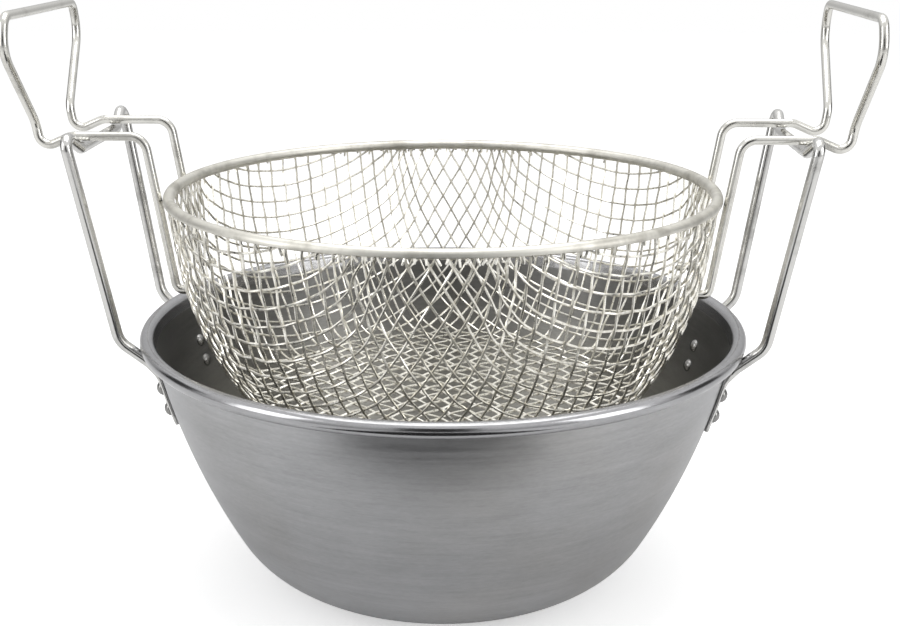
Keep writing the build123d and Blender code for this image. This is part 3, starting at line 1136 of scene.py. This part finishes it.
view = {
    "place": (0.0231, -0.6066, 0.3051),
    "turns": (73.37, 0.0, 2.18),
    "lens": 53.805,
    "sensor": 36.0,
    "shift": 0.0078,
    "nearest": 0.01,
}


def setCamera():
    data = bpy.data.cameras.new("camera")
    data.lens = view["lens"]
    data.sensor_width = view["sensor"]
    data.shift_x = view["shift"]
    data.clip_start = view["nearest"]
    camera = bpy.data.objects.new("camera", data)
    camera.location = view["place"]
    camera.rotation_euler = [math.radians(turn) for turn in view["turns"]]
    scene.collection.objects.link(camera)
    scene.camera = camera


def facing(place, target):  # the turn that points a card's or lamp's Z from its place at the target
    return (Vector(target) - Vector(place)).to_track_quat("Z", "Y").to_euler()


def panel(name, size, centre, material):
    mesh = bpy.data.meshes.new(name)
    x, y = size[0] / 2, size[1] / 2
    mesh.from_pydata([(-x, -y, 0), (x, -y, 0), (x, y, 0), (-x, y, 0)], [], [(0, 1, 2, 3)])
    piece = bpy.data.objects.new(name, mesh)
    scene.collection.objects.link(piece)
    piece.location = centre
    mesh.materials.append(material)
    return piece


floorLook = {"size": (6.0, 6.0), "colour": (0.86, 0.86, 0.86, 1), "glow": 0.46}  # its glow is for the camera


def whiteFloor():
    material, place = startMaterial("floor")
    glow = place.node("ShaderNodeLightPath", out="Is Camera Ray") * floorLook["glow"]
    first = place.node("ShaderNodeBsdfDiffuse", {"Color": floorLook["colour"]})
    second = place.node("ShaderNodeEmission", {"Color": (1, 1, 1, 1), "Strength": glow})
    both = place.node("ShaderNodeAddShader", {0: first, 1: second})
    place.node("ShaderNodeOutputMaterial", {"Surface": both})
    panel("floor", floorLook["size"], (0, 0, 0), material)


cardColour = (0.02, 0.02, 0.02, 1)
cards = {  # dark, and only reflections show them, as a studio hangs for metal
    "Front": {"size": (0.55, 0.9), "place": (0.0, -1.15, 0.50), "target": (0, 0, 0.15)},
    "Table": {"size": (0.30, 0.55), "place": (0.0, -0.48, 0.002), "target": (0, -0.48, 1)},
    "Left": {"size": (0.45, 0.5), "place": (-1.1, 0.25, 0.40), "target": (0, 0, 0.25)},
    "Right": {"size": (0.45, 0.5), "place": (1.1, 0.25, 0.40), "target": (0, 0, 0.25)},
}


def darkCards():
    material, place = startMaterial("darkCard")
    shader = place.node("ShaderNodeBsdfDiffuse", {"Color": cardColour})
    place.node("ShaderNodeOutputMaterial", {"Surface": shader})
    for name, card in cards.items():
        piece = panel("darkCard" + name, card["size"], card["place"], material)
        piece.rotation_euler = facing(card["place"], card["target"])
        piece.visible_camera = False
        piece.visible_shadow = False
        piece.visible_diffuse = False


lamps = {
    "top": {"size": (1.1, 0.9), "place": (0.0, 0.15, 1.25), "power": 7.5},
    "left": {"size": (0.5, 0.8), "place": (-1.0, -0.55, 0.55), "power": 3.2},
    "right": {"size": (0.5, 0.8), "place": (1.0, -0.55, 0.55), "power": 3.6},
}
lampTarget = (0, 0, 0.12)


def setLamps():
    for name, lamp in lamps.items():
        data = bpy.data.lights.new(name + "Lamp", "AREA")
        data.shape = "RECTANGLE"
        data.size, data.size_y = lamp["size"]
        data.energy = lamp["power"]
        light = bpy.data.objects.new(name + "Lamp", data)
        light.location = lamp["place"]
        light.rotation_euler = facing(lampTarget, lamp["place"])  # a lamp shines along its own -Z
        light.visible_camera = False
        scene.collection.objects.link(light)


worldLight = {
    "camera": 1.0,  # what the camera sees
    "side": 0.55,  # what metal reflects from the sides and from above
    "above": 0.95,
    "span": (0.05, 0.65),  # how far up that goes from one to the other
    "rest": 0.62,  # what lights the rest
}


def setWorld():
    world = bpy.data.worlds.new("studio")
    world.use_nodes = True
    tree = world.node_tree
    tree.nodes.clear()
    path = tree.nodes.new("ShaderNodeLightPath")
    camera, mirror = [Link(path.outputs[name]) for name in ("Is Camera Ray", "Is Glossy Ray")]
    way = Link(tree.nodes.new("ShaderNodeTexCoord").outputs["Generated"])
    up = way.node("ShaderNodeSeparateXYZ", {0: way}, out=2).between(*worldLight["span"])
    room = worldLight["side"] + up * (worldLight["above"] - worldLight["side"])
    strength = worldLight["rest"] + mirror * (room - worldLight["rest"])
    strength = strength + camera * (worldLight["camera"] - worldLight["rest"])
    background = camera.node("ShaderNodeBackground", {"Color": (1, 1, 1, 1), "Strength": strength})
    camera.node("ShaderNodeOutputWorld", {"Surface": background})
    scene.world = world


setCamera()
whiteFloor()
darkCards()
setLamps()
setWorld()
print("camera, floor and light set")
